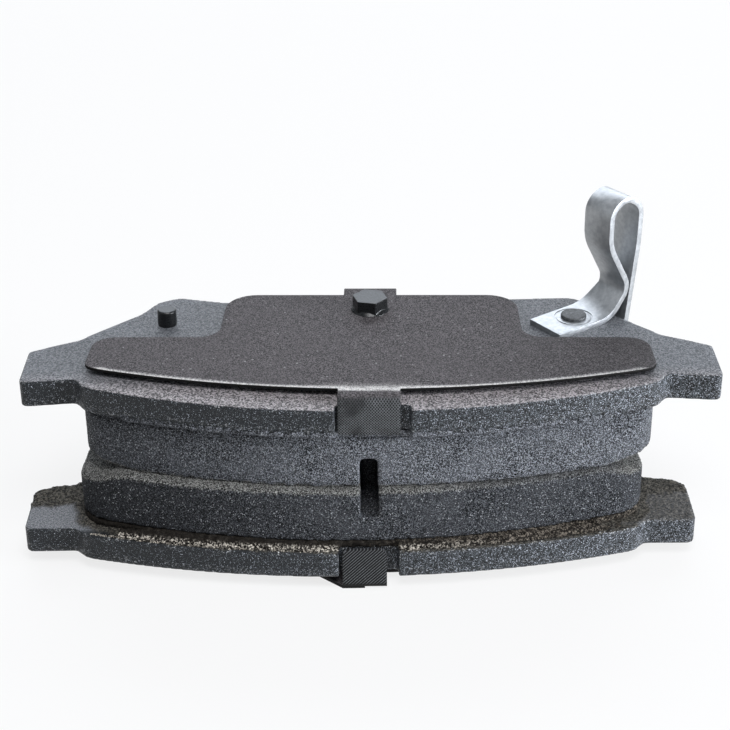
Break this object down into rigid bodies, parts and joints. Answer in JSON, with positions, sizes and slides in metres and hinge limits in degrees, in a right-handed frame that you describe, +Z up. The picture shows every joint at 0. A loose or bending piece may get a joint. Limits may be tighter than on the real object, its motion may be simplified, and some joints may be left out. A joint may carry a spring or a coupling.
{
  "type": "brake pad",
  "caption": "Pair of disc brake pads stacked friction face to friction face, with coated shims, a hex stud, a locating pin and a looped spring wear indicator",
  "frame": {"origin": "outer pad's shim rest face, on the inner pad's centre line and half way across its back plate", "axes": "X along the pads, +Y towards the inner-radius edge, +Z up through the stack"},
  "size_m": [0.1312, 0.0505, 0.0626],
  "materials": {
    "plate_paint": "satin",
    "bonding_resin": "matte",
    "friction_mix": "matte",
    "damping_sheet": "matte",
    "cover_rubber": "matte",
    "stud_black": "gloss",
    "zinc_strip": "satin",
    "rivet_steel": "satin"
  },
  "bodies": {
    "outer_pad": {"outer_back_plate": "plate_paint", "outer_underlayer": "bonding_resin", "outer_friction_block": "friction_mix", "outer_damping_shim": "damping_sheet", "outer_cover_shim": "cover_rubber"},
    "inner_pad": {"inner_back_plate": "plate_paint", "inner_underlayer": "bonding_resin", "inner_friction_block": "friction_mix", "inner_damping_shim": "damping_sheet", "inner_cover_shim": "cover_rubber", "hex_stud": "stud_black", "locating_pin": "stud_black", "wear_indicator": "zinc_strip", "wear_rivet": "rivet_steel"}
  },
  "joints": [
    {"name": "inner_pad_slide", "type": "slide", "parent": "outer_pad", "child": "inner_pad", "axis": [0, 0, 1], "range_m": [0, 0.03]}
  ]
}
